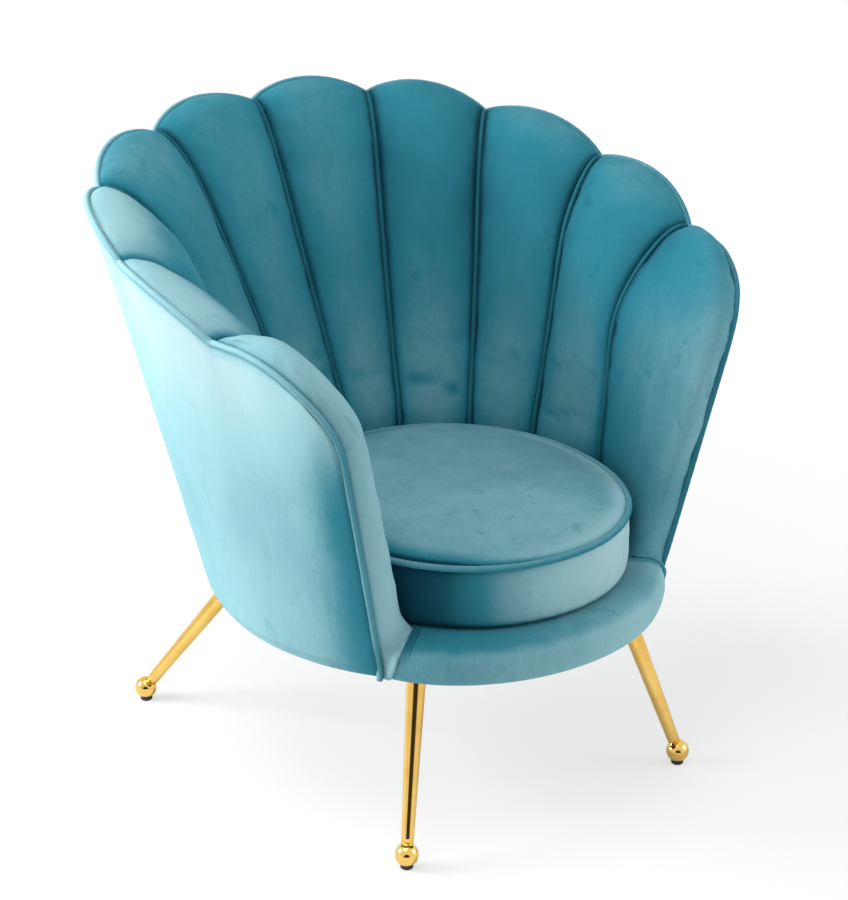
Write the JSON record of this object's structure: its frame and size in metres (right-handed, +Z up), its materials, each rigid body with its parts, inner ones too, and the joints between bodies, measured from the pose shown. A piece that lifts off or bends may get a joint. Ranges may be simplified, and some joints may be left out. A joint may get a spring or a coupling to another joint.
{
  "type": "upholstered tub chair",
  "caption": "Scallop back tub chair in channelled velvet, with wings, a round boxed seat cushion, piped seams and splayed gold legs on ball feet.",
  "frame": {"origin": "on the floor, midway across the chair and midway between the front of the rail and the back of the rim", "axes": "+Z up, -Y the way the sitter faces, +X the sitter's left"},
  "size_m": [0.7736, 0.7288, 0.7886],
  "materials": {
    "velvet": "teal blue velvet with a short pile",
    "velvet_piping": "teal blue velvet wrapped on cord",
    "plywood": "bare bent plywood",
    "gold_plating": "mirror polished gold coloured plating on steel",
    "steel": "bare pressed steel",
    "black_cloth": "black non-woven cloth",
    "black_plastic": "moulded black plastic"
  },
  "bodies": {
    "shell": {"leg_front_left": "gold_plating", "foot_ball_front_left": "gold_plating", "foot_glide_front_left": "black_plastic", "leg_plate_front_left": "steel", "leg_front_right": "gold_plating", "foot_ball_front_right": "gold_plating", "foot_glide_front_right": "black_plastic", "leg_plate_front_right": "steel", "leg_rear_left": "gold_plating", "foot_ball_rear_left": "gold_plating", "foot_glide_rear_left": "black_plastic", "leg_plate_rear_left": "steel", "leg_rear_right": "gold_plating", "foot_ball_rear_right": "gold_plating", "foot_glide_rear_right": "black_plastic", "leg_plate_rear_right": "steel", "seat_ring_frame": "plywood", "top_rail": "plywood", "wing_post_left": "plywood", "wing_post_right": "plywood", "back_rib_right_side": "plywood", "back_rib_right_back": "plywood", "back_rib_centre": "plywood", "back_rib_left_back": "plywood", "back_rib_left_side": "plywood", "seat_spring_1": "steel", "seat_spring_2": "steel", "seat_spring_3": "steel", "seat_spring_4": "steel", "dust_cover": "black_cloth", "seat_deck": "velvet", "channel_pad_left_1": "velvet", "channel_pad_left_2": "velvet", "channel_pad_left_3": "velvet", "channel_pad_left_4": "velvet", "wing_pad_left": "velvet", "channel_pad_right_1": "velvet", "channel_pad_right_2": "velvet", "channel_pad_right_3": "velvet", "channel_pad_right_4": "velvet", "wing_pad_right": "velvet", "channel_welt_centre": "velvet_piping", "channel_welt_left_1": "velvet_piping", "channel_welt_left_2": "velvet_piping", "channel_welt_left_3": "velvet_piping", "channel_welt_left_4": "velvet_piping", "channel_welt_right_1": "velvet_piping", "channel_welt_right_2": "velvet_piping", "channel_welt_right_3": "velvet_piping", "channel_welt_right_4": "velvet_piping", "rim_welt": "velvet_piping", "outside_cover": "velvet", "front_rail_cover": "velvet"},
    "cushion": {"seat_cushion": "velvet", "cushion_welt": "velvet_piping"}
  },
  "joints": [
    {"name": "cushion_lift", "type": "slide", "parent": "shell", "child": "cushion", "axis": [0, 0, 1], "range_m": [0, 0.45]}
  ]
}
